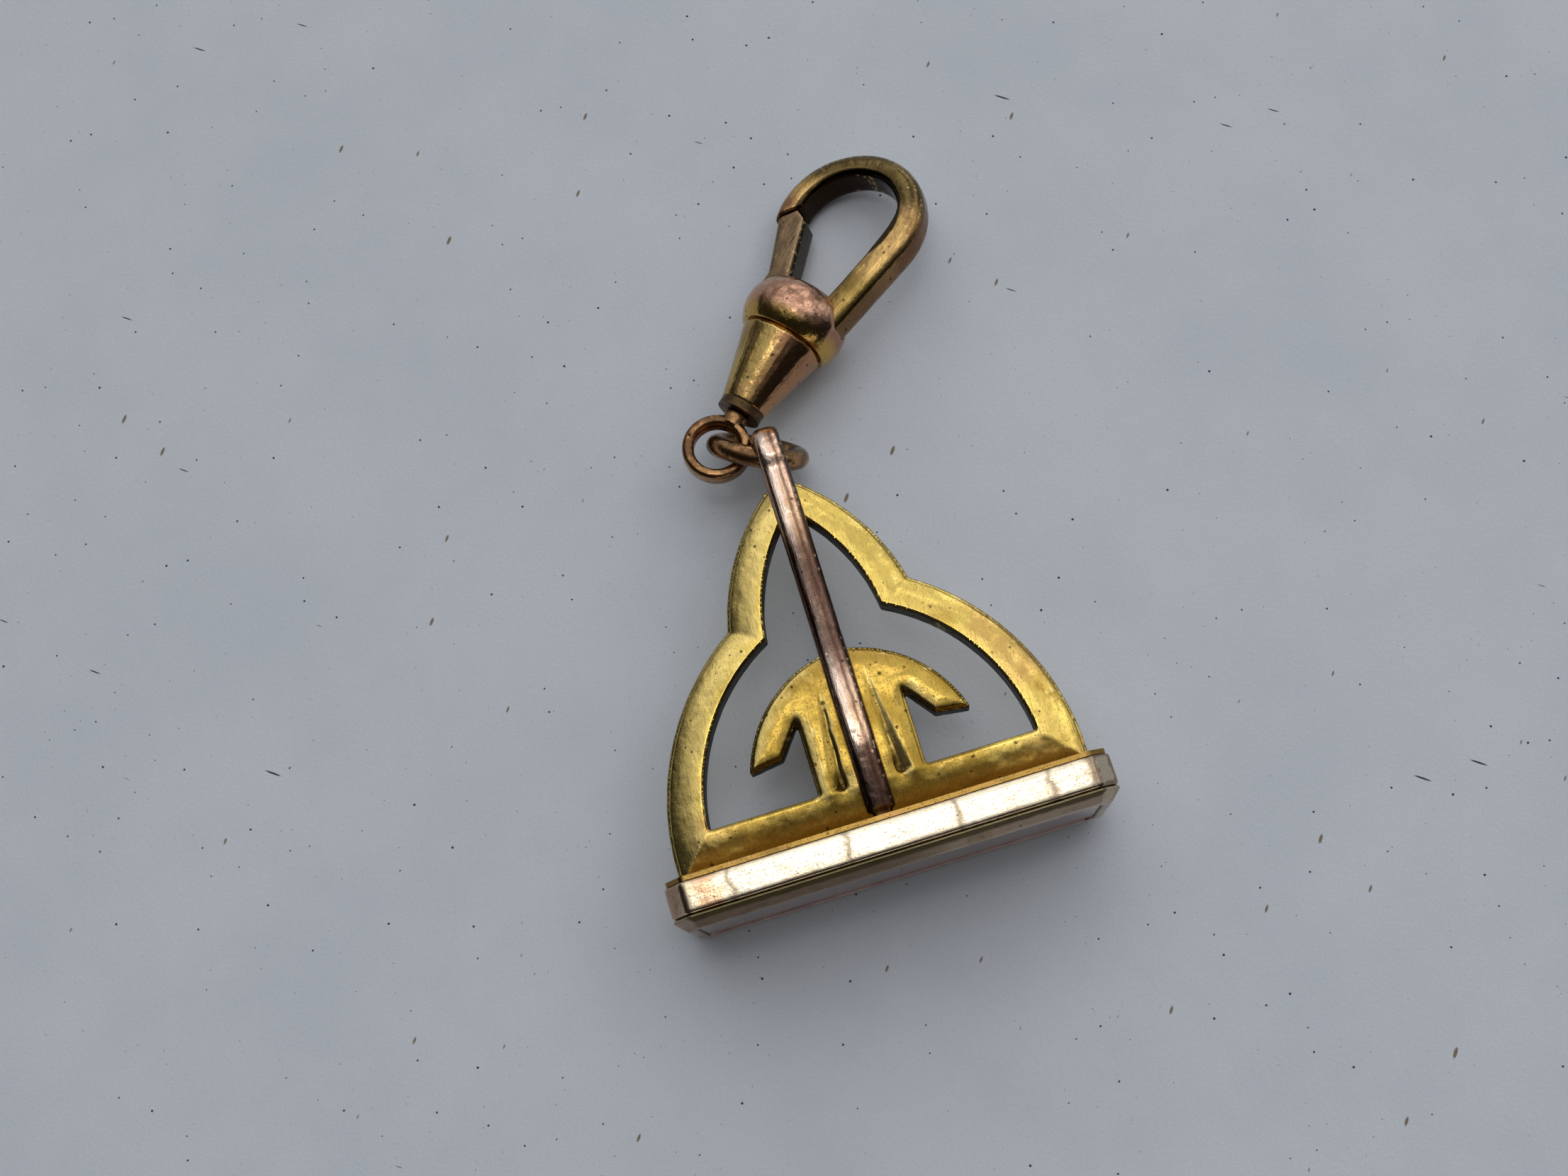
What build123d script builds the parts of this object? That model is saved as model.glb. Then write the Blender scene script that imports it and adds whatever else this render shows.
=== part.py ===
from build123d import *
import math
import os

# Pocket watch fob. A seal base carries a wide trefoil frame. A cross strap over the frame ends in
# an eye, and a jump ring through the eye hangs a swivel clip with a sprung gate.
# The fob lies on the long side wall of its base: Z is up, Y runs along the fob to the eye, and the
# origin is the centre of the wall that it lies on. Lengths are millimetres and angles degrees.

# Clearances and small common sizes
fit_gap = 0.02
running_gap = 0.04
overrun = 0.5

# Base, a shallow box with clipped corners
base_length = 24.0
base_depth = 9.0
corner_cut = 1.0
corner_round = 0.4
wall_height = 1.75
wall_thickness = 0.6
seam_bevel = 0.09
top_plate_thickness = 0.25
top_plate_inset = 0.15
lip_height = 0.75
lip_bevel = 0.6
lip_reach = 1.1
seal_flange_thickness = 0.5
seal_recess = 0.12

# Wide frame, measured from the top of the base wall and from the middle
frame_half_width = 11.35
frame_height = 20.3
frame_half_thickness = 0.9
notch_half_width = 5.15
notch_height = 12.66
lobe_radius = 13.8
arch_radius = 12.2
side_rail = 2.24
foot_rail = 2.3
apex_rail = 2.1
notch_rail = 2.2
notch_mitre = 29.5
inner_lobe_share = 0.795
inner_arch_share = 0.86
slope_drop = 0.45
rim_bevel = 0.15
crest_width = 0.12

# Ornament inside the frame: a post under a cap with two drooping wings
post_half_width = 3.0
cap_height = 9.95
cap_radius = 7.1
crest_radius = 3.0
wing_reach = 6.18
wing_tip_height = 4.75
wing_heel = 4.28
wing_heel_height = 5.02
wing_root_height = 6.7
ornament_bevel = 0.14
hollow_depth = 0.34
hollow_inner = 1.5
hollow_outer = 2.6
hollow_top_inner = 1.2
hollow_top_outer = 1.5
hollow_top_height = 9.1
hollow_rise = 0.05

# Yoke, a hairpin strap over the front and the back of the frame
yoke_width = 1.6
yoke_round = 0.5
yoke_thickness = 0.72
eye_rise = 1.05
eye_inner_radius = 1.28
eye_outer_radius = 1.93
eye_bevel = 0.22
shoulder_drop = 0.8
cusp_height = 11.0
bulge_height = 4.7
bulge_thickness = 1.4
yoke_foot_height = 0.8
yoke_foot_thickness = 0.95
tenon_width = 1.0
tenon_thickness = 0.5

# Jump ring
ring_radius = 2.39
ring_wire_radius = 0.575
ring_heading = -28.8
ring_lean = 23.5
ring_hang = 29.5
ring_seat_drop = 0.03
ring_seat_rise = 0.364
loop_seat_angle = -154.5
loop_seat_offset = -0.17

# Clip, measured along its axis from the middle of its collar, which lies just off the floor
clip_heading = 46.2
clip_roll = 21.0
floor_gap = 0.04
collar_radius = 3.08
collar_top_radius = 2.3
collar_top = 1.6
collar_bottom_radius = 2.62
collar_bottom = 1.45
groove_radius = 2.25
barrel_top = 1.6
barrel_length = 4.4
barrel_top_radius = 2.46
barrel_end_radius = 1.32
barrel_wall = 0.35
barrel_end_wall = 0.5
plug_depth = 0.8
washer_thickness = 0.5
washer_radius = 1.3

# Swivel eye
loop_outer_radius = 1.95
loop_inner_radius = 1.3
loop_width = 1.2
loop_round = 0.3
neck_radius = 0.7
neck_length = 0.4
neck_sink = 0.4
shank_radius = 0.5
shank_gap = 0.05
head_radius = 0.88
head_thickness = 0.5

# Hook, in the plane of the clip
crown_side = -0.25
crown_height = 6.85
crown_radius = 4.65
hook_thickness = 1.55
hook_half_width = 1.08
hook_round = 0.72
hook_inner_round = 0.42
arm_lean = 12.5
arm_root_inner = 1.1
arm_inner_end_angle = 35.0
arm_inner_knee = 2.42
arm_inner_knee_height = 6.1
tang_bottom = 0.2
beak_side = 4.62
beak_height = 5.45
beak_inner_side = 3.3
beak_inner_height = 6.75

# Gate, its pin and its spring
pivot_side = 2.5
pivot_height = 0.7
knuckle_radius = 0.5
gate_half_width = 0.88
gate_round = 0.3
gate_root_outer = 2.85
gate_root_inner = 1.25
gate_root_height = 1.85
gate_tip_inner = 2.62
gate_tip_height = 6.0
gate_gap = 0.07
pin_radius = 0.35
slot_floor = 0.0
slot_inner = 0.5
slot_step_side = 1.55
slot_step_height = 0.75
spring_thickness = 0.12
spring_width = 1.2
spring_height = 1.2


def direction(heading, drop):
    """Unit direction at a heading from +X in the floor's plane, dropped below the level."""
    level = math.cos(math.radians(drop))
    return Vector(
        math.cos(math.radians(heading)) * level,
        math.sin(math.radians(heading)) * level,
        -math.sin(math.radians(drop)),
    )


# Planes that carry the sketches
fob = Plane(origin=(0, wall_height / 2, base_depth / 2), x_dir=(1, 0, 0), z_dir=(0, 0, 1))
base_level = Plane(origin=fob.origin, x_dir=(1, 0, 0), z_dir=(0, 1, 0))
strap_side = Plane(origin=fob.origin, x_dir=(0, 1, 0), z_dir=(1, 0, 0))

ring_across = direction(ring_heading, 0)
ring_down = direction(ring_heading + 90, 90 - ring_lean)
eye_height = frame_height + eye_rise
ring_seat = fob.from_local_coords((0, eye_height - ring_seat_drop, ring_seat_rise))
ring_centre = (
    ring_seat
    + ring_down * (ring_radius * math.cos(math.radians(ring_hang)))
    - ring_across * (ring_radius * math.sin(math.radians(ring_hang)))
)
ring_plane = Plane(origin=ring_centre, x_dir=ring_across, z_dir=ring_across.cross(ring_down))

barrel_bottom = -barrel_top - barrel_length
shoulder_level = barrel_bottom - washer_thickness - running_gap
loop_level = shoulder_level - neck_length - loop_outer_radius
loop_seat = Vector(ring_radius, 0, loop_seat_offset).rotate(Axis.Z, loop_seat_angle)
loop_centre = ring_plane.from_local_coords(loop_seat)
clip_pitch = math.degrees(math.asin((loop_centre.Z - collar_radius - floor_gap) / -loop_level))
clip_along = direction(90 - clip_heading, clip_pitch)
level_across = direction(-clip_heading, 0)
level_up = level_across.cross(clip_along)
clip_centre = loop_centre - clip_along * loop_level
level_clip = Plane(origin=clip_centre, x_dir=level_across, z_dir=level_up)
roll = math.radians(clip_roll)
rolled_across = level_across * math.cos(roll) + level_up * math.sin(roll)
clip = Plane(origin=clip_centre, x_dir=rolled_across, z_dir=rolled_across.cross(clip_along))
clip_axis = Axis(origin=clip_centre, direction=clip_along)


def base_outline(inset, rounding=0):
    """Clipped rectangle of the base, set in all round."""
    with BuildSketch() as outline:
        Rectangle(base_length - 2 * inset, base_depth - 2 * inset)
        chamfer(outline.vertices(), corner_cut - inset * (2 - math.sqrt(2)))
        if rounding:
            fillet(outline.vertices(), rounding)
    return outline.sketch


# Base wall: the side band of the base
with BuildPart() as base_wall:
    with BuildSketch(base_level.offset(-wall_height)):
        add(base_outline(0, corner_round))
        add(base_outline(wall_thickness), mode=Mode.SUBTRACT)
    extrude(amount=wall_height)
    chamfer(base_wall.faces().sort_by(Axis.Y)[0].outer_wire().edges(), seam_bevel)
    chamfer(base_wall.faces().sort_by(Axis.Y)[-1].outer_wire().edges(), seam_bevel)

# Base top plate: the thin sheet that closes the base and carries the frame
with BuildPart() as base_top_plate:
    with BuildSketch(base_level):
        add(base_outline(top_plate_inset, corner_round))
    extrude(amount=top_plate_thickness)

# Bezel lip: the bevelled ring under the wall that holds the seal plate
with BuildPart() as bezel_lip:
    with BuildSketch(base_level.offset(-wall_height - lip_height)):
        add(base_outline(0))
        add(base_outline(lip_reach), mode=Mode.SUBTRACT)
    extrude(amount=lip_height)
    chamfer(bezel_lip.faces().sort_by(Axis.Y)[0].outer_wire().edges(), lip_bevel)
    chamfer(bezel_lip.faces().sort_by(Axis.Y)[-1].outer_wire().edges(), seam_bevel)

# Seal plate: a stepped plate, its flange inside the wall and its face in the lip's opening
with BuildPart() as seal_plate:
    with BuildSketch(base_level.offset(-wall_height)):
        add(base_outline(wall_thickness + fit_gap))
    extrude(amount=seal_flange_thickness)
    with BuildSketch(base_level.offset(-wall_height)):
        add(base_outline(lip_reach + fit_gap))
    extrude(amount=seal_recess - lip_height)


# Outlines of the wide frame
sill_height = top_plate_thickness + foot_rail


def rail_outline(share):
    """Two lobes and a pointed arch over a foot, at a share of the way from the rim to the opening."""
    side = frame_half_width - side_rail * share
    foot = top_plate_thickness + foot_rail * share
    notch = (
        notch_half_width - notch_rail * share * math.cos(math.radians(notch_mitre)),
        notch_height - notch_rail * share * math.sin(math.radians(notch_mitre)),
    )
    with BuildSketch() as outline:
        with BuildLine():
            Line((0, foot), (side, foot))
            RadiusArc((side, foot), notch, -lobe_radius * (1 - (1 - inner_lobe_share) * share))
            RadiusArc(
                notch,
                (0, frame_height - apex_rail * share),
                -arch_radius * (1 - (1 - inner_arch_share) * share),
            )
            mirror(about=Plane.YZ)
        make_face()
    return outline.sketch


# Ornament: the post and its winged cap, bevelled all round and hollowed beside the yoke
with BuildPart() as ornament:
    with BuildSketch(fob) as sketch:
        with BuildLine():
            Polyline(
                (0, sill_height),
                (post_half_width, sill_height),
                (post_half_width, wing_root_height),
                (wing_heel, wing_heel_height),
                (wing_reach, wing_tip_height),
            )
            RadiusArc((wing_reach, wing_tip_height), (0, cap_height), -cap_radius)
            mirror(about=Plane.YZ)
        make_face()
        fillet(sketch.vertices().sort_by(Axis.Y)[-1], crest_radius)
    extrude(amount=frame_half_thickness, both=True)
    for place in (0, -1):
        flat = ornament.faces().sort_by(Axis.Z)[place]
        chamfer(flat.edges().sort_by(Axis.Y)[1:], ornament_bevel)
    for side in (-1, 1):
        for level in (-1, 1):
            with BuildSketch(base_level.offset(sill_height - foot_rail / 2)):
                with BuildLine():
                    Polyline(
                        (side * hollow_inner, level * (frame_half_thickness + hollow_rise)),
                        (side * hollow_outer, level * (frame_half_thickness + hollow_rise)),
                        (side * hollow_inner, level * (frame_half_thickness - hollow_depth)),
                        close=True,
                    )
                make_face()
            with BuildSketch(base_level.offset(hollow_top_height)):
                with BuildLine():
                    Polyline(
                        (side * hollow_top_inner, level * (frame_half_thickness + hollow_rise)),
                        (side * hollow_top_outer, level * (frame_half_thickness + hollow_rise)),
                        (side * hollow_top_inner, level * frame_half_thickness),
                        close=True,
                    )
                make_face()
            loft(ruled=True, mode=Mode.SUBTRACT)

# Wide frame: rails that slope outwards and mitre at their corners, with the ornament on the sill
rim_height = frame_half_thickness - slope_drop
levels = (
    (rim_height - rim_bevel, 0),
    (rim_height, rim_bevel / side_rail),
    (frame_half_thickness, 1 - crest_width / side_rail),
)
with BuildPart() as wide_frame:
    with BuildSketch(fob):
        add(rail_outline(0))
    extrude(amount=rim_height - rim_bevel, both=True)
    for side in (-1, 1):
        for (low, low_share), (high, high_share) in zip(levels, levels[1:]):
            with BuildSketch(fob.offset(side * low)):
                add(rail_outline(low_share))
            with BuildSketch(fob.offset(side * high)):
                add(rail_outline(high_share))
            loft(ruled=True)
    with BuildSketch(fob):
        add(rail_outline(1))
    extrude(amount=frame_half_thickness + overrun, both=True, mode=Mode.SUBTRACT)
    add(ornament.part)

# Yoke: legs against the front and the back of the frame, joined by the eye
leg_outer = frame_half_thickness + yoke_thickness
eye_axis = Axis(origin=fob.from_local_coords((0, eye_height, 0)), direction=fob.x_dir)
with BuildPart() as yoke:
    with BuildSketch(strap_side):
        with BuildLine():
            shoulder = math.degrees(math.asin(shoulder_drop / eye_outer_radius))
            loop = CenterArc((eye_height, 0), eye_outer_radius, 0, 90 + shoulder)
            Line(loop @ 1, (cusp_height, leg_outer))
            ThreePointArc(
                (cusp_height, leg_outer),
                (bulge_height, frame_half_thickness + bulge_thickness),
                (yoke_foot_height, frame_half_thickness + yoke_foot_thickness),
            )
            Line((yoke_foot_height, frame_half_thickness + yoke_foot_thickness), (yoke_foot_height, 0))
            mirror(about=Plane.XZ)
        make_face()
        with Locations((eye_height, 0)):
            Circle(eye_inner_radius, mode=Mode.SUBTRACT)
        with Locations((yoke_foot_height, 0)):
            Rectangle(
                eye_height - yoke_foot_height,
                2 * frame_half_thickness,
                align=(Align.MIN, Align.CENTER),
                mode=Mode.SUBTRACT,
            )
    extrude(amount=yoke_width / 2, both=True)
    strap = yoke.edges().filter_by(lambda edge: edge.length > yoke_width)
    leg_edges = strap.filter_by(
        lambda edge: abs(edge.center().Z - fob.origin.Z) > frame_half_thickness + yoke_thickness / 2
    )
    loop_edges = strap.filter_by(
        lambda edge: edge.center().Y > fob.origin.Y + eye_height + (eye_inner_radius + eye_outer_radius) / 2
    )
    fillet(leg_edges + loop_edges, yoke_round)
    for side in (-1, 1):
        with BuildSketch(fob):
            with BuildLine():
                Polyline(
                    (side * (yoke_width / 2 - eye_bevel), eye_height + eye_inner_radius),
                    (side * (yoke_width / 2 + eye_bevel), eye_height + eye_inner_radius + 2 * eye_bevel),
                    (side * (yoke_width / 2 + eye_bevel), eye_height + eye_inner_radius),
                    close=True,
                )
            make_face()
        revolve(axis=eye_axis, mode=Mode.SUBTRACT)
    with BuildSketch(base_level.offset(top_plate_thickness)):
        with Locations((0, frame_half_thickness + yoke_foot_thickness / 2)):
            Rectangle(tenon_width, tenon_thickness)
        mirror(about=Plane.XZ)
    extrude(amount=yoke_foot_height - top_plate_thickness)

# Jump ring: a closed ring of round wire
with BuildPart(ring_plane) as jump_ring:
    Torus(ring_radius, ring_wire_radius)

# Swivel eye: a loop with a neck, and a shank riveted inside the barrel
head_level = barrel_bottom + barrel_end_wall + running_gap
with BuildPart() as swivel_eye:
    with BuildSketch(level_clip):
        with Locations((0, loop_level)):
            Circle(loop_outer_radius)
            Circle(loop_inner_radius, mode=Mode.SUBTRACT)
    extrude(amount=loop_width / 2, both=True)
    fillet(swivel_eye.edges(), loop_round)
    with BuildSketch(level_clip):
        with BuildLine():
            Polyline(
                (0, shoulder_level - neck_length - neck_sink),
                (neck_radius, shoulder_level - neck_length - neck_sink),
                (neck_radius, shoulder_level),
                (shank_radius, shoulder_level),
                (shank_radius, head_level),
                (head_radius, head_level),
                (head_radius, head_level + head_thickness),
                (0, head_level + head_thickness),
                close=True,
            )
        make_face()
    revolve(axis=clip_axis)

# Neck washer under the barrel
with BuildPart() as neck_washer:
    with BuildSketch(level_clip):
        with Locations((shank_radius + shank_gap, barrel_bottom - washer_thickness)):
            Rectangle(
                washer_radius - shank_radius - shank_gap, washer_thickness, align=(Align.MIN, Align.MIN)
            )
    revolve(axis=clip_axis)

# Barrel: a hollow cone, open under the collar
taper = (barrel_top_radius - barrel_end_radius) / barrel_length
with BuildPart() as barrel:
    with BuildSketch(level_clip):
        with BuildLine():
            Polyline(
                (shank_radius + shank_gap, barrel_bottom),
                (barrel_end_radius, barrel_bottom),
                (barrel_top_radius, -barrel_top),
                (barrel_top_radius - barrel_wall, -barrel_top),
                (barrel_end_radius - barrel_wall + taper * barrel_end_wall, barrel_bottom + barrel_end_wall),
                (shank_radius + shank_gap, barrel_bottom + barrel_end_wall),
                close=True,
            )
        make_face()
    revolve(axis=clip_axis)

# Hook: an arm, a round crown and a beak, with the arm's root let into the collar
inner_radius = crown_radius - hook_thickness
crown_centre = Vector(crown_side, crown_height)
arm_slope = math.tan(math.radians(arm_lean))


def on_crown(radius, angle):
    """Point of a circle round the middle of the crown, at an angle from the arm's side."""
    return crown_centre + Vector(radius, 0).rotate(Axis.Z, angle)


with BuildPart() as hook:
    arm_top = on_crown(crown_radius, -arm_lean)
    arm_foot = Vector(arm_top.X - (arm_top.Y + tang_bottom) * arm_slope, -tang_bottom)
    arm_inner_top = on_crown(inner_radius, arm_inner_end_angle)
    with BuildSketch(clip):
        with BuildLine():
            Line(arm_foot, arm_top)
            ThreePointArc(arm_top, on_crown(crown_radius, 90), (-beak_side, beak_height))
            Line((-beak_side, beak_height), (-beak_inner_side, beak_inner_height))
            ThreePointArc((-beak_inner_side, beak_inner_height), on_crown(inner_radius, 90), arm_inner_top)
            Spline(
                arm_inner_top,
                (arm_inner_knee, arm_inner_knee_height),
                (arm_root_inner, -tang_bottom),
                tangents=(Vector(0, -1).rotate(Axis.Z, arm_inner_end_angle), (-arm_slope, -1)),
            )
            Line((arm_root_inner, -tang_bottom), arm_foot)
        make_face()
    extrude(amount=hook_half_width, both=True)
    rims = hook.faces().filter_by(clip).edges()
    arcs = rims.filter_by(GeomType.CIRCLE)
    middle_radius = (crown_radius + inner_radius) / 2
    outer_rims = arcs.filter_by(lambda edge: edge.radius > middle_radius)
    outer_rims += rims.filter_by(lambda edge: edge.geom_type == GeomType.LINE and edge.length > middle_radius)
    inner_rims = arcs.filter_by(lambda edge: edge.radius < middle_radius) + rims.filter_by(GeomType.BSPLINE)
    fillet(inner_rims, hook_inner_round)
    fillet(outer_rims, hook_round)

# Bead: the full round of the collar with its plug for the barrel
with BuildPart() as bead:
    with BuildSketch(clip):
        plug_radius = barrel_top_radius - barrel_wall - fit_gap
        with BuildLine():
            Polyline(
                (0, collar_top),
                (0, -barrel_top - plug_depth),
                (plug_radius - taper * plug_depth, -barrel_top - plug_depth),
                (plug_radius, -barrel_top),
                (groove_radius, -barrel_top),
                (groove_radius, -collar_bottom),
                (collar_bottom_radius, -collar_bottom),
            )
            ThreePointArc(
                (collar_bottom_radius, -collar_bottom), (collar_radius, 0), (collar_top_radius, collar_top)
            )
            Line((collar_top_radius, collar_top), (0, collar_top))
        make_face()
    revolve(axis=clip_axis)

# Collar: the bead with the hook's socket, the gate's slot and the pin's hole
pivot = (-pivot_side, pivot_height)
with BuildPart() as collar:
    add(bead.part)
    add(hook.part, mode=Mode.SUBTRACT)
    with BuildSketch(clip):
        with BuildLine():
            Polyline(
                (-collar_radius - overrun, slot_floor),
                (-slot_step_side, slot_floor),
                (-slot_inner, slot_step_height),
                (-slot_inner, collar_top + overrun),
                (-collar_radius - overrun, collar_top + overrun),
                close=True,
            )
        make_face()
    extrude(amount=gate_half_width + running_gap, both=True, mode=Mode.SUBTRACT)
    with BuildSketch(clip):
        with Locations(pivot):
            Circle(pin_radius)
    extrude(amount=collar_radius, both=True, mode=Mode.SUBTRACT)

# Gate pin: a rivet through both cheeks, dressed flush with the bead
with BuildPart() as gate_pin:
    with BuildSketch(clip):
        with Locations(pivot):
            Circle(pin_radius)
    extrude(amount=collar_radius, both=True)
    add(bead.part, mode=Mode.INTERSECT)

# Gate: swings inwards from the beak about its pin
beak_run = Vector(beak_side - beak_inner_side, beak_inner_height - beak_height)
seat_shift = Vector(beak_run.Y, -beak_run.X).normalized() * gate_gap
with BuildPart() as gate:
    seat_low = Vector(-beak_side, beak_height) + seat_shift
    seat_high = Vector(-beak_inner_side, beak_inner_height) + seat_shift
    with BuildSketch(clip):
        with BuildLine():
            Polyline(
                (-gate_root_outer, gate_root_height),
                seat_low + beak_run * (gate_round / beak_run.length),
                seat_high - beak_run * (gate_round / beak_run.length),
                (-gate_tip_inner, gate_tip_height),
                (-gate_root_inner, gate_root_height),
                (-pivot_side + knuckle_radius, pivot_height),
                (-pivot_side - knuckle_radius, pivot_height),
                close=True,
            )
        make_face()
        with Locations(pivot):
            Circle(knuckle_radius)
    extrude(amount=gate_half_width, both=True)
    rims = gate.faces().filter_by(clip).edges()
    fillet(rims.filter_by(lambda edge: edge.length > gate_tip_height / 2), gate_round)
    with BuildSketch(clip):
        with Locations(pivot):
            Circle(pin_radius + running_gap)
    extrude(amount=gate_half_width + overrun, both=True, mode=Mode.SUBTRACT)

# Gate spring: a leaf that stands in the slot behind the gate
with BuildPart() as gate_spring:
    with BuildSketch(clip):
        with Locations((-slot_inner - fit_gap, slot_step_height)):
            Rectangle(spring_thickness, spring_height, align=(Align.MAX, Align.MIN))
    extrude(amount=spring_width / 2, both=True)

pieces = {
    "base_wall": base_wall,
    "base_top_plate": base_top_plate,
    "bezel_lip": bezel_lip,
    "seal_plate": seal_plate,
    "wide_frame": wide_frame,
    "yoke": yoke,
    "jump_ring": jump_ring,
    "swivel_eye": swivel_eye,
    "neck_washer": neck_washer,
    "barrel": barrel,
    "collar": collar,
    "hook": hook,
    "gate": gate,
    "gate_pin": gate_pin,
    "gate_spring": gate_spring,
}

os.makedirs("parts", exist_ok=True)
for name, piece in pieces.items():
    piece.part.label = name
    export_step(piece.part, f"parts/{name}.step")
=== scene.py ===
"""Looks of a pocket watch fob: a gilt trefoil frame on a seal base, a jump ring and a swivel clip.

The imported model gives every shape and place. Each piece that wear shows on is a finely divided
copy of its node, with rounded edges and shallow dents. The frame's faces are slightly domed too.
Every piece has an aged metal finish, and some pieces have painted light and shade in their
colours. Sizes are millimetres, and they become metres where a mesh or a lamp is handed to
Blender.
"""

import logging
import math
from dataclasses import dataclass, field
from enum import Enum
from typing import Sequence, Union

import bmesh
import bpy
from mathutils import Matrix, Vector, noise
from mathutils.kdtree import KDTree


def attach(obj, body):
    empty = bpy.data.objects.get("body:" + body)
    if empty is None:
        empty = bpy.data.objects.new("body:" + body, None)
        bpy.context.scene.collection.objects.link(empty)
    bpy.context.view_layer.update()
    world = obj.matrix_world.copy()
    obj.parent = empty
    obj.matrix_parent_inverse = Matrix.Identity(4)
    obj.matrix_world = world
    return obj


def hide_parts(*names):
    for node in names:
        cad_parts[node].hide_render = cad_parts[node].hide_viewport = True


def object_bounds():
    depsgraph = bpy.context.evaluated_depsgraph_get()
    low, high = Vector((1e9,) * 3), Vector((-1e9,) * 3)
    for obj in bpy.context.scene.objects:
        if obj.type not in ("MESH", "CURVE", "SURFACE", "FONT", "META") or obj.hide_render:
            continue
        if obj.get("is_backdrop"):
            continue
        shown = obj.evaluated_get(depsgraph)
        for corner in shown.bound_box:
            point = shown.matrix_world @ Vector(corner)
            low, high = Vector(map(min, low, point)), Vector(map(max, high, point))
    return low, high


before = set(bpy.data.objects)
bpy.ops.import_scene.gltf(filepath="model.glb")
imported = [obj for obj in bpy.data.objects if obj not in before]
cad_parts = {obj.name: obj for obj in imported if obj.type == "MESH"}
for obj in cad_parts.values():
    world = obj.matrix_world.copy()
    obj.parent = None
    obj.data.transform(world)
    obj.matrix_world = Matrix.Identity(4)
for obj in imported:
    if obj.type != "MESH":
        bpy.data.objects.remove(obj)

log = logging.getLogger("watch_fob")

# Metres in a millimetre
METRES = 0.001
# Height of the fob's middle plane above the floor
FOB_MIDDLE = 4.5
# Share of a spot's largest radius over which its rim fades
SPOT_FADE = 0.4
# Places of a Mix node's colour sockets
MIX_FIRST = 6
MIX_SECOND = 7
MIX_RESULT = 2

Swatch = tuple[float, float, float]
Triple = tuple[float, float, float]
Socket = bpy.types.NodeSocket
Feed = Union[Socket, float, Sequence[float]]

# How the metals age: sizes, shifts and depths are millimetres, a rise is a pair of levels
TARNISH_SPAN = 0.2
BLUSH_SHIFT = (7.3, 2.1, 9.7)
BLUSH_SCALE = 1.6
BLUSH_RISE = (0.5, 0.66)
RAGGED_SIZE = 0.7
FACING_WANDER = 0.25
STREAK_STRETCH = 14.0
STREAK_RISE = (0.5, 0.72)
STREAK_SHARE = 0.3
FRECKLE_SPACING = 0.34
FRECKLE_REACH = 0.42
FRECKLE_SHARE = 0.75
FINE_GRIME_SIZE = 0.11
FINE_GRIME_RISE = (0.58, 0.75)
FINE_GRIME_SHARE = 0.4
GRIME_ROUGHNESS = 0.25
GRIME_DEPTH = 0.008
# Pointed edges are brightened: partly wear, partly a painted highlight
EDGE_WEAR_AND_HIGHLIGHT_RISE = (0.52, 0.6)
EDGE_WEAR_AND_HIGHLIGHT_SHARE = 0.4
DIRTY_HOLLOW_RISE = (0.515, 0.56)
DIRTY_HOLLOW_SHARE = 0.9
PITTING_SIZE = 0.3
PITTING_DEPTH = 0.008
SWELL_SIZE = 2.2
OPENING_FADE = 0.15
OPENING_SHARE = 0.92

# How the pieces wear: the weld's reach is millimetres, the rest are shares
WELD_REACH = 0.0005
EASING_STRENGTH = 0.5
BROAD_DENTS = 0.7
SMALL_DENTS = 0.3
# How many times narrower the small dents are
SMALL_DENT_DIVISION = 3


def swatch(red: int, green: int, blue: int) -> Swatch:
    """Turn a colour seen on a screen into the linear one that shaders use.

    Args:
        red: Red from 0 to 255.
        green: Green from 0 to 255.
        blue: Blue from 0 to 255.

    Returns:
        The linear colour.
    """

    def linear(level: int) -> float:
        """Turn one channel into its linear share."""
        share = level / 255
        return share / 12.92 if share <= 0.04045 else ((share + 0.055) / 1.055) ** 2.4

    return linear(red), linear(green), linear(blue)


class Way(Enum):
    """Directions that the pieces run in, as unit vectors of the model's frame."""

    ALONG_BASE = (1.0, 0.0, 0.0)
    ALONG_FOB = (0.0, 1.0, 0.0)
    UP = (0.0, 0.0, 1.0)
    ALONG_CLIP = (0.7194, 0.6899, -0.0801)
    ACROSS_CLIP = (0.6669, -0.6532, 0.3585)
    OUT_OF_CLIP = (-0.1941, 0.3104, 0.9306)


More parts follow.
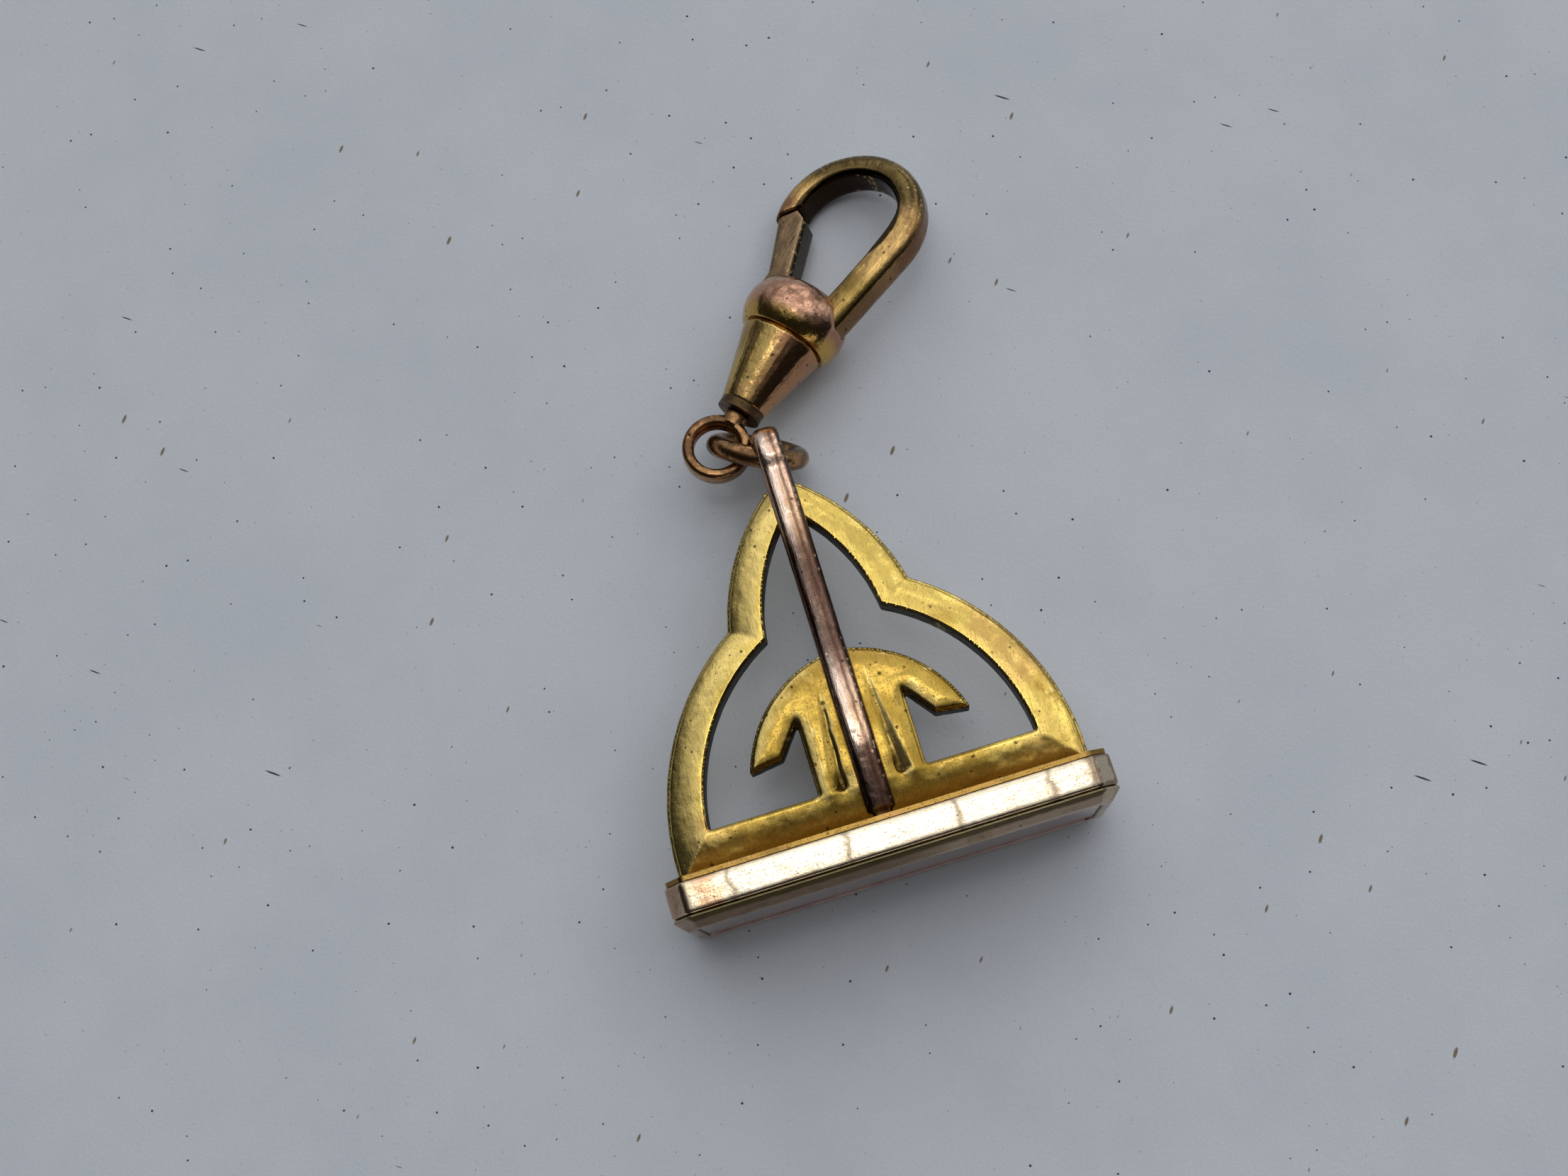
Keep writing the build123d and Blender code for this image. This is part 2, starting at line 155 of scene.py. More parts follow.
class NodeGraph:
    """Builds a node tree step by step, with positions in millimetres."""

    def __init__(self, tree: bpy.types.NodeTree) -> None:
        """Take over the tree of a material or a world, and empty it."""
        self.tree = tree
        self.tree.nodes.clear()

    def node(self, kind: str, **settings: object) -> bpy.types.Node:
        """Add a node.

        Args:
            kind: The node's type name without its ShaderNode prefix.
            **settings: Properties of the node.

        Returns:
            The new node.
        """
        made = self.tree.nodes.new("ShaderNode" + kind)
        for name, value in settings.items():
            setattr(made, name, value)
        return made

    def feed(self, target: Socket, value: Feed) -> None:
        """Link a socket to an input, or set the input's own value.

        Args:
            target: The input socket.
            value: An output socket, a number or a colour.
        """
        if isinstance(value, bpy.types.NodeSocket):
            self.tree.links.new(value, target)
        elif isinstance(value, (int, float)):
            target.default_value = value
        else:
            count = len(target.default_value)
            target.default_value = (*value, 1.0)[:count]

    def maths(self, operation: str, first: Feed, second: Feed = 0.0, third: Feed = 0.0) -> Socket:
        """Combine numbers.

        Args:
            operation: The Math node's operation.
            first: The first number.
            second: The second number.
            third: The third number.

        Returns:
            The result's socket.
        """
        made = self.node("Math", operation=operation)
        for target, value in zip(made.inputs, (first, second, third)):
            self.feed(target, value)
        return made.outputs[0]

    def vectors(
        self,
        operation: str,
        first: Feed,
        second: Feed = (0.0, 0.0, 0.0),
    ) -> bpy.types.Node:
        """Combine vectors.

        Args:
            operation: The Vector Math node's operation.
            first: The first vector.
            second: The second vector.

        Returns:
            The node, because its result may be a number or a vector.
        """
        made = self.node("VectorMath", operation=operation)
        self.feed(made.inputs[0], first)
        self.feed(made.inputs[1], second)
        return made

    def position(self) -> Socket:
        """Place on the piece, which moves with the piece.

        Returns:
            The place's socket, in millimetres.
        """
        place = self.node("TexCoord").outputs["Object"]
        made = self.node("VectorMath", operation="SCALE")
        self.feed(made.inputs[0], place)
        made.inputs["Scale"].default_value = 1 / METRES
        return made.outputs[0]

    def reach(self, place: Socket, way: Triple) -> Socket:
        """Find how far a place lies along a unit direction."""
        return self.vectors("DOT_PRODUCT", place, way).outputs["Value"]

    def drawn(self, place: Socket, way: Triple, stretch: float) -> Socket:
        """Places squeezed along a direction, so that what is drawn on them is stretched along it.

        Args:
            place: The place on the piece.
            way: The unit direction of the streaks.
            stretch: How many times longer than wide they come out.

        Returns:
            The squeezed place's socket.
        """
        shift = self.maths("MULTIPLY", self.reach(place, way), 1 / stretch - 1)
        along = self.node("VectorMath", operation="SCALE")
        self.feed(along.inputs[0], way)
        self.feed(along.inputs["Scale"], shift)
        return self.vectors("ADD", place, along.outputs[0]).outputs[0]

    def clouds(
        self,
        place: Socket,
        size: float,
        detail: float = 3.0,
        rough: float = 0.55,
    ) -> Socket:
        """Soft random patches.

        Args:
            place: The place on the piece.
            size: Size of a patch.
            detail: How many finer layers the patches have.
            rough: How strong each finer layer is.

        Returns:
            The patches' socket, about 0.5 in the middle.
        """
        made = self.node("TexNoise")
        self.feed(made.inputs["Vector"], place)
        made.inputs["Scale"].default_value = 1 / size
        made.inputs["Detail"].default_value = detail
        made.inputs["Roughness"].default_value = rough
        return made.outputs[0]

    def spots(
        self,
        place: Socket,
        size: float,
        share: float,
        reach: float,
        flat: bool = False,
    ) -> Socket:
        """Scattered round spots.

        Args:
            place: The place on the piece.
            size: Distance between the places where a spot may be.
            share: Share of those places that have one.
            reach: Largest radius of a spot, as a share of that distance.
            flat: Whether the spots are laid out on the model's flat plane only.

        Returns:
            The spots' socket, 1 inside a spot.
        """
        made = self.node("TexVoronoi", voronoi_dimensions="2D" if flat else "3D")
        self.feed(made.inputs["Vector"], place)
        made.inputs["Scale"].default_value = 1 / size
        parts = self.node("SeparateColor")
        self.feed(parts.inputs[0], made.outputs["Color"])
        chosen = self.maths("LESS_THAN", parts.outputs[0], share)
        radius = self.maths("MULTIPLY", parts.outputs[1], reach)
        depth = self.maths("SUBTRACT", radius, made.outputs["Distance"])
        return self.maths("MULTIPLY", self.ramp(depth, 0.0, reach * SPOT_FADE), chosen)

    def ramp(self, value: Feed, low: float, high: float, top: float = 1.0) -> Socket:
        """Smooth rise between two levels.

        Args:
            value: The number to follow.
            low: The level where the rise starts.
            high: The level where it ends.
            top: The height that it reaches.

        Returns:
            The rise's socket.
        """
        made = self.node("MapRange", interpolation_type="SMOOTHSTEP")
        for target, number in zip(made.inputs, (value, low, high, 0.0, top)):
            self.feed(target, number)
        return made.outputs[0]

    def mix(self, share: Feed, first: Feed, second: Feed) -> Socket:
        """Blend two colours.

        Args:
            share: Share of the second colour.
            first: The first colour.
            second: The second colour.

        Returns:
            The blend's socket.
        """
        made = self.node("Mix", data_type="RGBA")
        self.feed(made.inputs[0], share)
        self.feed(made.inputs[MIX_FIRST], first)
        self.feed(made.inputs[MIX_SECOND], second)
        return made.outputs[MIX_RESULT]


@dataclass(frozen=True)
class Zone:
    """A stretch of a piece that has its own colour, which on some pieces is painted light and
    shade.

    Attributes:
        way: Direction that the stretch is measured along.
        start: Where it starts.
        end: Where it ends.
        colour: Its colour.
        fade: Length of its soft ends.
        share: How much of the colour shows.
        ragged: How far its ends wander.
        roughness: Added roughness.
    """

    way: Way
    start: float
    end: float
    colour: Swatch
    fade: float = 0.4
    share: float = 0.85
    ragged: float = 0.5
    roughness: float = 0.0


@dataclass(frozen=True)
class Facing:
    """Surfaces turned towards a direction, coloured with painted light and shade.

    Attributes:
        way: The direction.
        start: Share of the turn where the colour starts.
        end: Share of the turn where it shows in full, below start for surfaces turned away.
        colour: Its colour.
        share: How much of the colour shows.
        both: Whether surfaces turned the opposite way count too.
        roughness: Added roughness.
    """

    way: Way
    start: float
    end: float
    colour: Swatch
    share: float = 0.8
    both: bool = False
    roughness: float = 0.0


@dataclass
class Coat:
    """The colour and roughness of a surface while they are built up.

    Attributes:
        colour: The colour so far.
        rough: The roughness so far.
    """

    colour: Socket
    rough: Socket

    def lay(self, graph: NodeGraph, shown: Socket, colour: Swatch, roughness: float) -> None:
        """Lay another colour over the coat where it shows, with its added roughness."""
        self.colour = graph.mix(shown, self.colour, colour)
        self.rough = graph.maths("MULTIPLY_ADD", shown, roughness, self.rough)


@dataclass(frozen=True)
class AgedMetal:
    """A gilt or plated surface with tarnish, grime, freckles, polishing streaks, bright edges, and
    painted light and shade.

    Attributes:
        name: The material's name.
        bright: Colour of the sound metal.
        tarnish: Colour of its tarnished patches.
        grime: Colour of the dirt in corners and freckles.
        edge: Colour of the bright edges, partly wear and partly a painted highlight.
        patch: Size of a tarnished patch.
        tarnish_from: Level of the patches where tarnish starts: lower means more.
        tarnish_share: How much of the tarnish's colour shows.
        blush: Colour of a second, broader sort of patch.
        blush_share: How much of it shows.
        freckles: Share of places with a dark freckle.
        roughness: Roughness of the sound metal.
        spread: How much rougher the tarnish is.
        grain: Direction of the polishing streaks.
        grain_width: Width of a streak.
        grain_depth: Depth of a streak.
        swell: Depth of the broad unevenness that bends reflections.
        zones: Stretches with a colour of their own, some of which is painted light and shade.
        facings: Turned surfaces with painted light and shade.
        inner_axis: Centre of a round opening, in its own plane, whose inside is dark, or nothing.
        inner_reach: Distance from that centre where the dark ends.
    """

    name: str
    bright: Swatch
    tarnish: Swatch
    grime: Swatch
    edge: Swatch
    patch: float = 2.0
    tarnish_from: float = 0.46
    tarnish_share: float = 0.6
    blush: Swatch = swatch(196, 140, 112)
    blush_share: float = 0.3
    freckles: float = 0.16
    roughness: float = 0.24
    spread: float = 0.16
    grain: Way = Way.ALONG_FOB
    grain_width: float = 0.07
    grain_depth: float = 0.004
    swell: float = 0.03
    zones: tuple[Zone, ...] = ()
    facings: tuple[Facing, ...] = ()
    inner_axis: Union[tuple[float, float], None] = None
    inner_reach: float = 3.3

    def material(self) -> bpy.types.Material:
        """Make the material.

        Returns:
            The finished material.
        """
        made = bpy.data.materials.new(self.name)
        made.use_nodes = True
        graph = NodeGraph(made.node_tree)
        place = graph.position()
        coat = self.aged(graph, place)
        self.zoned(graph, place, coat)
        streaks = graph.clouds(
            graph.drawn(place, self.grain.value, STREAK_STRETCH),
            self.grain_width,
            detail=2.0,
        )
        dark = self.dirty(graph, place, coat, streaks)
        bump = graph.node("Bump")
        bump.inputs["Strength"].default_value = 1.0
        bump.inputs["Distance"].default_value = METRES
        graph.feed(bump.inputs["Height"], self.relief(graph, place, streaks, dark))
        shader = graph.node("BsdfPrincipled")
        shader.inputs["Metallic"].default_value = 1.0
        graph.feed(shader.inputs["Base Color"], coat.colour)
        graph.feed(shader.inputs["Roughness"], coat.rough)
        graph.feed(shader.inputs["Normal"], bump.outputs[0])
        graph.feed(graph.node("OutputMaterial").inputs[0], shader.outputs[0])
        return made

    def aged(self, graph: NodeGraph, place: Socket) -> Coat:
        """Start the coat with the sound metal, its tarnish and its blush.

        Args:
            graph: The material's graph.
            place: The place on the piece.

        Returns:
            The coat.
        """
        patches = graph.clouds(place, self.patch, detail=5.0, rough=0.6)
        tarnish_end = self.tarnish_from + TARNISH_SPAN
        tarnished = graph.ramp(patches, self.tarnish_from, tarnish_end, self.tarnish_share)
        colour = graph.mix(tarnished, self.bright, self.tarnish)
        shifted = graph.vectors("ADD", place, BLUSH_SHIFT).outputs[0]
        blushed = graph.ramp(
            graph.clouds(shifted, self.patch * BLUSH_SCALE),
            *BLUSH_RISE,
            self.blush_share,
        )
        colour = graph.mix(blushed, colour, self.blush)
        rough = graph.maths("MULTIPLY_ADD", tarnished, self.spread, self.roughness)
        return Coat(colour, rough)

    def zoned(self, graph: NodeGraph, place: Socket, coat: Coat) -> None:
        """Lay the zones, the turned surfaces and the inside of the opening over the coat.

        Args:
            graph: The material's graph.
            place: The place on the piece.
            coat: The coat.
        """
        ragged = graph.maths("SUBTRACT", graph.clouds(place, RAGGED_SIZE, detail=3.0), 0.5)
        for zone in self.zones:
            shown = self.inside(graph, place, zone, ragged)
            coat.lay(graph, shown, zone.colour, zone.roughness)
        # Facings lay painted light and shade by the way each surface turns
        turned = graph.node("TexCoord").outputs["Normal"]
        for facing in self.facings:
            turn = graph.reach(turned, facing.way.value)
            if facing.both:
                turn = graph.maths("ABSOLUTE", turn)
            turn = graph.maths("MULTIPLY_ADD", ragged, FACING_WANDER, turn)
            shown = graph.ramp(turn, facing.start, facing.end, facing.share)
            coat.lay(graph, shown, facing.colour, facing.roughness)
        # The inside of the round opening is darkened in the grime colour: partly grime, partly
        # painted shade
        if self.inner_axis is not None:
            coat.colour = graph.mix(self.within(graph, place), coat.colour, self.grime)

    def dirty(self, graph: NodeGraph, place: Socket, coat: Coat, streaks: Socket) -> Socket:
        """Dirty the coat with streaks, freckles and grime, and brighten its edges with wear and a
        painted highlight.

        Args:
            graph: The material's graph.
            place: The place on the piece.
            coat: The coat.
            streaks: The polishing streaks.

        Returns:
            How dark the freckles and the fine grime are.
        """
        streaked = graph.ramp(streaks, *STREAK_RISE, STREAK_SHARE)
        colour = graph.mix(streaked, coat.colour, self.grime)
        freckled = graph.spots(place, FRECKLE_SPACING, self.freckles, FRECKLE_REACH)
        freckled = graph.maths("MULTIPLY", freckled, FRECKLE_SHARE)
        fine = graph.clouds(place, FINE_GRIME_SIZE, detail=2.0)
        fine = graph.ramp(fine, *FINE_GRIME_RISE, FINE_GRIME_SHARE)
        dark = graph.maths("MAXIMUM", freckled, fine)
        colour = graph.mix(dark, colour, self.grime)
        # Bright edges: partly wear, partly a painted highlight
        pointed = graph.node("NewGeometry").outputs["Pointiness"]
        edge_wear_and_highlight = graph.ramp(pointed, *EDGE_WEAR_AND_HIGHLIGHT_RISE, EDGE_WEAR_AND_HIGHLIGHT_SHARE)
        colour = graph.mix(edge_wear_and_highlight, colour, self.edge)
        hollow = graph.maths("SUBTRACT", 1.0, pointed)
        filled = graph.ramp(hollow, *DIRTY_HOLLOW_RISE, DIRTY_HOLLOW_SHARE)
        coat.colour = graph.mix(filled, colour, self.grime)
        coat.rough = graph.maths("MULTIPLY_ADD", dark, GRIME_ROUGHNESS, coat.rough)
        return dark

    def relief(self, graph: NodeGraph, place: Socket, streaks: Socket, dark: Socket) -> Socket:
        """Height of the surface, which bends its reflections.

        Args:
            graph: The material's graph.
            place: The place on the piece.
            streaks: The polishing streaks.
            dark: How dark the freckles and the fine grime are.

        Returns:
            The height's socket, in millimetres.
        """
        height = graph.maths("MULTIPLY", streaks, self.grain_depth)
        pitting = graph.clouds(place, PITTING_SIZE)
        height = graph.maths("MULTIPLY_ADD", pitting, PITTING_DEPTH, height)
        swelling = graph.clouds(place, SWELL_SIZE, detail=1.0)
        height = graph.maths("MULTIPLY_ADD", swelling, self.swell, height)
        return graph.maths("MULTIPLY_ADD", dark, -GRIME_DEPTH, height)

    def within(self, graph: NodeGraph, place: Socket) -> Socket:
        """How near a place is to the inside of the round opening.

        Args:
            graph: The material's graph.
            place: The place on the piece.

        Returns:
            The share of dark that shows there.
        """
        centre_across, centre_along = self.inner_axis
        across = graph.reach(place, Way.ACROSS_CLIP.value)
        across = graph.maths("SUBTRACT", across, centre_across)
        along = graph.reach(place, Way.ALONG_CLIP.value)
        along = graph.maths("SUBTRACT", along, centre_along)
        sides = graph.maths("MULTIPLY", across, across)
        squared = graph.maths("MULTIPLY_ADD", along, along, sides)
        distance = graph.maths("SQRT", squared)
        outer = self.inner_reach + OPENING_FADE
        return graph.ramp(distance, outer, self.inner_reach, OPENING_SHARE)

    def inside(self, graph: NodeGraph, place: Socket, zone: Zone, ragged: Socket) -> Socket:
        """How much of a zone's colour shows at a place.

        Args:
            graph: The material's graph.
            place: The place on the piece.
            zone: The zone.
            ragged: Random wander, about 0 in the middle.

        Returns:
            The share's socket.
        """
        reach = graph.reach(place, zone.way.value)
        reach = graph.maths("MULTIPLY_ADD", ragged, zone.ragged * 2, reach)
        half_fade = zone.fade / 2
        after = graph.ramp(reach, zone.start - half_fade, zone.start + half_fade, zone.share)
        before = graph.ramp(reach, zone.end - half_fade, zone.end + half_fade)
        return graph.maths("MULTIPLY", after, graph.maths("SUBTRACT", 1.0, before))


@dataclass(frozen=True)
class Dome:
    """How far the outer faces of a piece sink towards their rims.

    Attributes:
        way: Direction that tells the rims' surfaces from the faces.
        low: Least share of that direction in a rim's normal.
        high: Most of it.
        depth: How far a face sinks at its rim.
        reach: Distance from the rim where the sinking ends.
    """

    way: Way
    low: float
    high: float
    depth: float
    reach: float


@dataclass
class WornPiece:
    """A finely divided copy of a CAD node with rounded edges and shallow dents.

    Attributes:
        name: The piece's name.
        node: The CAD node that it stands for.
        body: The body that it moves with.
        slot: Name of a material slot, not used.
        finish: Its metal.
        cell: Size of the divisions.
        softening: How many times its edges are eased.
        dent_depth: Depth of the deepest dents.
        dent_size: Width of a dent.
        dome: How its outer faces are domed, or nothing.
    """

    name: str
    node: str
    body: str
    slot: str
    finish: AgedMetal
    cell: float = 0.08
    softening: int = 2
    dent_depth: float = 0.03
    dent_size: float = 0.9
    dome: Union[Dome, None] = None

    def build(self) -> bpy.types.Object:
        """Make the piece, ride it on its body and hide the node.

        Returns:
            The piece.
        """
        mesh = self.divided()
        if self.dome is not None:
            self.sink(mesh, self.dome)
        self.dent(mesh)
        mesh.transform(Matrix.Scale(METRES, 4))
        mesh.materials.clear()
        mesh.materials.append(self.finish.material())
        mesh.polygons.foreach_set("use_smooth", [True] * len(mesh.polygons))
        piece = bpy.data.objects.new(self.name, mesh)
        bpy.context.scene.collection.objects.link(piece)
        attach(piece, self.body)
        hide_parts(self.node)
        log.info("%s: %d faces", self.name, len(mesh.polygons))
        return piece

    def divided(self) -> bpy.types.Mesh:
        """Copy the node's mesh in millimetres and divide it into even cells.

        Returns:
            The divided mesh.
        """
        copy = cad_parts[self.node].data.copy()
        copy.transform(Matrix.Scale(1 / METRES, 4))
        joined = bmesh.new()
        joined.from_mesh(copy)
        bmesh.ops.remove_doubles(joined, verts=joined.verts, dist=WELD_REACH)
        joined.to_mesh(copy)
        joined.free()
        carrier = bpy.data.objects.new(self.name + "_carrier", copy)
        bpy.context.scene.collection.objects.link(carrier)
        remesh = carrier.modifiers.new("cells", "REMESH")
        remesh.mode = "VOXEL"
        remesh.voxel_size = self.cell
        easing = carrier.modifiers.new("easing", "SMOOTH")
        easing.factor = EASING_STRENGTH
        easing.iterations = self.softening
        ready = carrier.evaluated_get(bpy.context.evaluated_depsgraph_get())
        mesh = bpy.data.meshes.new_from_object(ready)
        bpy.data.objects.remove(carrier)
        bpy.data.meshes.remove(copy)
        mesh.name = self.name
        return mesh

    def sink(self, mesh: bpy.types.Mesh, dome: Dome) -> None:
        """Dome the faces that look outwards by sinking them towards their rims.

        Args:
            mesh: The divided mesh, in millimetres.
            dome: How far they sink.
        """
        places = [vertex.co.copy() for vertex in mesh.vertices]
        normals = [normal.vector.copy() for normal in mesh.vertex_normals]
        way = Vector(dome.way.value)
        on_rim = [dome.low <= abs(normal.dot(way)) <= dome.high for normal in normals]
        rims = KDTree(len(places))
        faces = KDTree(len(places))
        for index, place in enumerate(places):
            tree = rims if on_rim[index] else faces
            tree.insert(place, index)
        rims.balance()
        faces.balance()
        sunk: list[float] = []
        for index, place in enumerate(places):
            if on_rim[index]:
                nearest, gap = faces.find(place)[1:]
                outwards = normals[nearest]
                press = max(0.0, dome.depth - gap)
            else:
                gap = rims.find(place)[2]
                outwards = normals[index]
                press = dome.depth * max(0.0, 1 - gap / dome.reach) ** 2
            if outwards.z * (place.z - FOB_MIDDLE) < 0:
                press = 0.0
            sunk.extend(place - outwards * press)
        mesh.vertices.foreach_set("co", sunk)
        mesh.update()

    def dent(self, mesh: bpy.types.Mesh) -> None:
        """Press shallow dents into the surface, never outwards.

        Args:
            mesh: The divided mesh, in millimetres.
        """
        places = [vertex.co.copy() for vertex in mesh.vertices]
        normals = [normal.vector.copy() for normal in mesh.vertex_normals]
        pressed: list[float] = []
        for place, normal in zip(places, normals):
            broad = noise.noise(place / self.dent_size)
            small = noise.noise(place / (self.dent_size / SMALL_DENT_DIVISION))
            depth = max(0.0, broad) * BROAD_DENTS + max(0.0, small) * SMALL_DENTS
            pressed.extend(place - normal * (self.dent_depth * depth))
        mesh.vertices.foreach_set("co", pressed)


@dataclass(frozen=True)
class Patches:
    """Soft patches of another colour on the paper.

    Attributes:
        colour: Their colour.
        size: Size of a patch.
        rise: Levels where a patch starts and ends to show.
        share: How much of the colour shows.
        detail: How many finer layers they have.
        rough: How strong each finer layer is.
    """

    colour: Swatch
    size: float
    rise: tuple[float, float]
    share: float = 1.0
    detail: float = 3.0
    rough: float = 0.55


@dataclass(frozen=True)
class Specks:
    """Small dark marks scattered on the paper.

    Attributes:
        spacing: Distance between the places where one may be.
        share: Share of those places that have one.
        colour: Their colour.
        reach: Largest radius of one, as a share of the spacing.
        way: Direction that they are long in.
        stretch: How many times longer than wide they are.
    """

    spacing: float
    share: float
    colour: Swatch
    reach: float = 0.06
    way: Triple = (1.0, 0.0, 0.0)
    stretch: float = 1.0


SHADE = swatch(218, 223, 231)
TOOTH = swatch(196, 200, 210)
SPECK = swatch(52, 56, 78)
CRUMB = swatch(139, 124, 104)


@dataclass
class PaperFloor:
    """Pale blue-grey paper with faint fibres and dark specks, which the fob lies on.

    Attributes:
        half_size: Half the paper's side.
        paper: Its colour.
        patches: Its fainter patches, from the broadest to its grain.
        marks: The specks, crumbs and fibres on it.
        roughness: Its roughness.
        relief_size: Width of its surface's unevenness.
        relief_depth: Depth of that.
        relief_share: How much of that shows.
    """

    half_size: float = 900.0
    paper: Swatch = swatch(226, 230, 237)
    patches: tuple[Patches, ...] = (
        Patches(SHADE, 14.0, (0.35, 0.7), detail=5.0, rough=0.65),
        Patches(SHADE, 0.35, (0.6, 0.75), share=0.35),
        Patches(TOOTH, 0.09, (0.4, 0.75), share=0.3, detail=1.0),
    )
    marks: tuple[Specks, ...] = (
        Specks(1.5, 0.3, SPECK),
        Specks(0.7, 0.14, CRUMB),
        Specks(2.1, 0.2, CRUMB, way=(0.6, 0.8, 0.0), stretch=3.0),
        Specks(1.3, 0.06, SPECK, reach=0.05, way=(-0.8, 0.6, 0.0), stretch=9.0),
    )
    roughness: float = 0.75
    relief_size: float = 0.25
    relief_depth: float = 0.03
    relief_share: float = 0.6

    def build(self) -> bpy.types.Object:
        """Make the paper.

        Returns:
            The floor.
        """
        side = self.half_size * METRES
        mesh = bpy.data.meshes.new("paper_floor")
        corners = [(-side, -side, 0), (side, -side, 0), (side, side, 0), (-side, side, 0)]
        mesh.from_pydata(corners, [], [(0, 1, 2, 3)])
        mesh.materials.append(self.material())
        floor = bpy.data.objects.new("paper_floor", mesh)
        bpy.context.scene.collection.objects.link(floor)
        floor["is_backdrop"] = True
        return floor

    def material(self) -> bpy.types.Material:
        """Make the paper's material.

        Returns:
            The material.
        """
        made = bpy.data.materials.new("pale_paper")
        made.use_nodes = True
        graph = NodeGraph(made.node_tree)
        place = graph.position()
        colour: Feed = self.paper
        for patch in self.patches:
            cloudy = graph.clouds(place, patch.size, patch.detail, patch.rough)
            shown = graph.ramp(cloudy, *patch.rise, patch.share)
            colour = graph.mix(shown, colour, patch.colour)
        for mark in self.marks:
            drawn = graph.drawn(place, mark.way, mark.stretch) if mark.stretch > 1 else place
            marked = graph.spots(drawn, mark.spacing, mark.share, mark.reach, flat=True)
            colour = graph.mix(marked, colour, mark.colour)
        bump = graph.node("Bump")
        bump.inputs["Strength"].default_value = self.relief_share
        bump.inputs["Distance"].default_value = self.relief_depth * METRES
        graph.feed(bump.inputs["Height"], graph.clouds(place, self.relief_size))
        shader = graph.node("BsdfPrincipled")
        shader.inputs["Roughness"].default_value = self.roughness
        graph.feed(shader.inputs["Base Color"], colour)
        graph.feed(shader.inputs["Normal"], bump.outputs[0])
        graph.feed(graph.node("OutputMaterial").inputs[0], shader.outputs[0])
        return made


@dataclass
class SoftPanel:
    """A rectangular lamp that faces the fob.

    Attributes:
        name: The lamp's name.
        towards: Direction from the fob to the lamp.
        distance: How far away it is.
        width: Its width.
        height: Its height.
        glow: Brightness of its face.
        tint: Its colour.
    """

    name: str
    towards: Triple
    distance: float
    width: float
    height: float
    glow: float
    tint: Swatch = (1.0, 1.0, 1.0)

    def build(self, target: Vector) -> bpy.types.Object:
        """Hang the lamp.

        Args:
            target: The point that it faces, in millimetres.

        Returns:
            The lamp.
        """
        data = bpy.data.lights.new(self.name, "AREA")
        data.shape = "RECTANGLE"
        data.size = self.width * METRES
        data.size_y = self.height * METRES
        data.energy = self.glow * math.pi * data.size * data.size_y
        data.color = self.tint
        lamp = bpy.data.objects.new(self.name, data)
        way = Vector(self.towards).normalized()
        lamp.location = (target + way * self.distance) * METRES
        lamp.rotation_euler = way.to_track_quat("Z", "Y").to_euler()
        bpy.context.scene.collection.objects.link(lamp)
        return lamp


@dataclass
class Studio:
    """The room round the fob: a dim sky that is brighter to one side, and soft lamps.

    Attributes:
        target: The point that the lamps face.
        sky: Colour of the sky.
        dim: Brightness of the sky at its darkest.
        full: Brightness of the sky at its brightest.
        bright_way: Direction of the sky's brightest part.
        rise: Turns towards that direction where the sky starts and ends to brighten.
        mottle: Size of the sky's paler and darker patches, for a sky of radius 1.
        mottle_rise: Levels where a patch starts and ends to brighten.
        mottle_gain: How much brighter the palest patches are than the darkest.
        mottle_floor: Brightness of the darkest patches.
        lamps: The lamps.
    """

    target: Vector = field(default_factory=lambda: Vector((0.0, 15.0, 2.0)))
    sky: Swatch = (0.94, 0.97, 1.0)
    dim: float = 0.02
    full: float = 1.26
    bright_way: Triple = (0.42, 0.62, 0.66)
    rise: tuple[float, float] = (0.26, 1.0)
    mottle: float = 0.3
    mottle_rise: tuple[float, float] = (0.35, 0.62)
    mottle_gain: float = 1.15
    mottle_floor: float = 0.2
    lamps: tuple[SoftPanel, ...] = (
        SoftPanel("window", (0.55, 0.42, 0.78), 420.0, 300.0, 300.0, 0.45),
        SoftPanel("zenith_strip", (0.01, 0.1, 1.0), 420.0, 130.0, 46.0, 3.0, (1.0, 0.97, 0.92)),
        SoftPanel("front_card", (0.03, -0.94, 0.32), 420.0, 280.0, 90.0, 0.75, (1.0, 0.9, 0.87)),
    )

    def build(self) -> None:
        """Light the scene."""
        world = bpy.data.worlds.new("dim_room")
        world.use_nodes = True
        graph = NodeGraph(world.node_tree)
        look = graph.node("TexCoord").outputs["Generated"]
        facing = graph.reach(look, tuple(Vector(self.bright_way).normalized()))
        rise = graph.ramp(facing, *self.rise, self.full)
        patches = graph.ramp(graph.clouds(look, self.mottle, detail=1.0), *self.mottle_rise)
        patches = graph.maths("MULTIPLY_ADD", patches, self.mottle_gain, self.mottle_floor)
        back = graph.node("Background")
        graph.feed(back.inputs["Color"], self.sky)
        graph.feed(back.inputs["Strength"], graph.maths("MULTIPLY_ADD", rise, patches, self.dim))
        graph.feed(graph.node("OutputWorld").inputs[0], back.outputs[0])
        bpy.context.scene.world = world
        for lamp in self.lamps:
            lamp.build(self.target)


